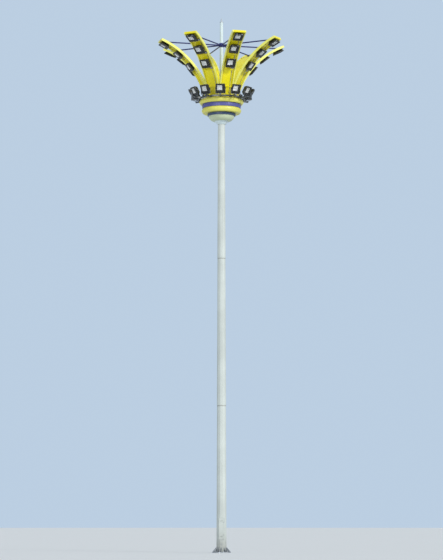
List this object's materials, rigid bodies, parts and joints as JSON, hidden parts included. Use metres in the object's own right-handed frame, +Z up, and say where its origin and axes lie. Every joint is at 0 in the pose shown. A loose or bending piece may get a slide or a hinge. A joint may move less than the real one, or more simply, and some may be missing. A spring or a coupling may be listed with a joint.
{
  "type": "high mast floodlight tower",
  "caption": "Tall tapered steel mast on a bolted flange, with a banded bowl, a ring of tilting floodlights and a crown of curved petals that carry more floodlights",
  "frame": {"origin": "centre of the base flange's underside, on the foundation", "axes": "+Z up the mast, -Y the front with the access door, +X to the right seen from the front"},
  "size_m": [5.941, 5.941, 25],
  "materials": {
    "galvanised": "dull hot-dip zinc",
    "mast_paint": "satin paint",
    "white_paint": "satin paint",
    "cream_paint": "satin paint",
    "slate_paint": "satin paint",
    "blue_paint": "satin paint",
    "yellow_paint": "satin paint",
    "petal_paint": "semi-gloss paint",
    "navy_paint": "satin paint",
    "lamp_casting": "black powder coat, with a clear toughened glass"
  },
  "bodies": {
    "tower": {"base_flange": "galvanised", "base_gussets": "galvanised", "mast_lower": "mast_paint", "mast_middle": "mast_paint", "mast_upper": "mast_paint", "door_frame": "mast_paint", "access_door": "mast_paint", "neck_collar": "white_paint", "bowl_cream_band": "cream_paint", "bowl_lower_blue_band": "slate_paint", "bowl_lower_yellow_band": "yellow_paint", "bowl_upper_blue_band": "blue_paint", "bowl_upper_yellow_band": "yellow_paint", "deck_plate": "galvanised", "petal_1": "petal_paint", "petal_2": "petal_paint", "petal_3": "petal_paint", "petal_4": "petal_paint", "petal_5": "petal_paint", "petal_6": "petal_paint", "petal_7": "petal_paint", "petal_8": "petal_paint", "petal_lamps_1": "lamp_casting", "petal_lamps_2": "lamp_casting", "petal_lamps_3": "lamp_casting", "petal_lamps_4": "lamp_casting", "petal_lamps_5": "lamp_casting", "petal_lamps_6": "lamp_casting", "petal_lamps_7": "lamp_casting", "petal_lamps_8": "lamp_casting", "lamp_ring": "galvanised", "lamp_stirrups": "galvanised", "finial_pole": "white_paint", "lightning_tip": "galvanised", "tie_spider": "navy_paint"},
    "lamp_1": {"ring_lamp_1": "lamp_casting"},
    "lamp_2": {"ring_lamp_2": "lamp_casting"},
    "lamp_3": {"ring_lamp_3": "lamp_casting"},
    "lamp_4": {"ring_lamp_4": "lamp_casting"},
    "lamp_5": {"ring_lamp_5": "lamp_casting"},
    "lamp_6": {"ring_lamp_6": "lamp_casting"},
    "lamp_7": {"ring_lamp_7": "lamp_casting"},
    "lamp_8": {"ring_lamp_8": "lamp_casting"},
    "lamp_9": {"ring_lamp_9": "lamp_casting"},
    "lamp_10": {"ring_lamp_10": "lamp_casting"},
    "lamp_11": {"ring_lamp_11": "lamp_casting"},
    "lamp_12": {"ring_lamp_12": "lamp_casting"}
  },
  "joints": [
    {"name": "lamp_1_tilt", "type": "hinge", "parent": "tower", "child": "lamp_1", "pos_m": [-0.04841, -1.38616, 21.39964], "axis": [0.9994, -0.0349, 0], "range_deg": [-30, 30]},
    {"name": "lamp_2_tilt", "type": "hinge", "parent": "tower", "child": "lamp_2", "pos_m": [0.65116, -1.22465, 21.39964], "axis": [0.8829, 0.4695, 0], "range_deg": [-30, 30]},
    {"name": "lamp_3_tilt", "type": "hinge", "parent": "tower", "child": "lamp_3", "pos_m": [1.17624, -0.735, 21.39964], "axis": [0.5299, 0.848, 0], "range_deg": [-30, 30]},
    {"name": "lamp_4_tilt", "type": "hinge", "parent": "tower", "child": "lamp_4", "pos_m": [1.38616, -0.04841, 21.39964], "axis": [0.0349, 0.9994, 0], "range_deg": [-30, 30]},
    {"name": "lamp_5_tilt", "type": "hinge", "parent": "tower", "child": "lamp_5", "pos_m": [1.22465, 0.65116, 21.39964], "axis": [-0.4695, 0.8829, 0], "range_deg": [-30, 30]},
    {"name": "lamp_6_tilt", "type": "hinge", "parent": "tower", "child": "lamp_6", "pos_m": [0.735, 1.17624, 21.39964], "axis": [-0.848, 0.5299, 0], "range_deg": [-30, 30]},
    {"name": "lamp_7_tilt", "type": "hinge", "parent": "tower", "child": "lamp_7", "pos_m": [0.04841, 1.38616, 21.39964], "axis": [-0.9994, 0.0349, 0], "range_deg": [-30, 30]},
    {"name": "lamp_8_tilt", "type": "hinge", "parent": "tower", "child": "lamp_8", "pos_m": [-0.65116, 1.22465, 21.39964], "axis": [-0.8829, -0.4695, 0], "range_deg": [-30, 30]},
    {"name": "lamp_9_tilt", "type": "hinge", "parent": "tower", "child": "lamp_9", "pos_m": [-1.17624, 0.735, 21.39964], "axis": [-0.5299, -0.848, 0], "range_deg": [-30, 30]},
    {"name": "lamp_10_tilt", "type": "hinge", "parent": "tower", "child": "lamp_10", "pos_m": [-1.38616, 0.04841, 21.39964], "axis": [-0.0349, -0.9994, 0], "range_deg": [-30, 30]},
    {"name": "lamp_11_tilt", "type": "hinge", "parent": "tower", "child": "lamp_11", "pos_m": [-1.22465, -0.65116, 21.39964], "axis": [0.4695, -0.8829, 0], "range_deg": [-30, 30]},
    {"name": "lamp_12_tilt", "type": "hinge", "parent": "tower", "child": "lamp_12", "pos_m": [-0.735, -1.17624, 21.39964], "axis": [0.848, -0.5299, 0], "range_deg": [-30, 30]}
  ]
}
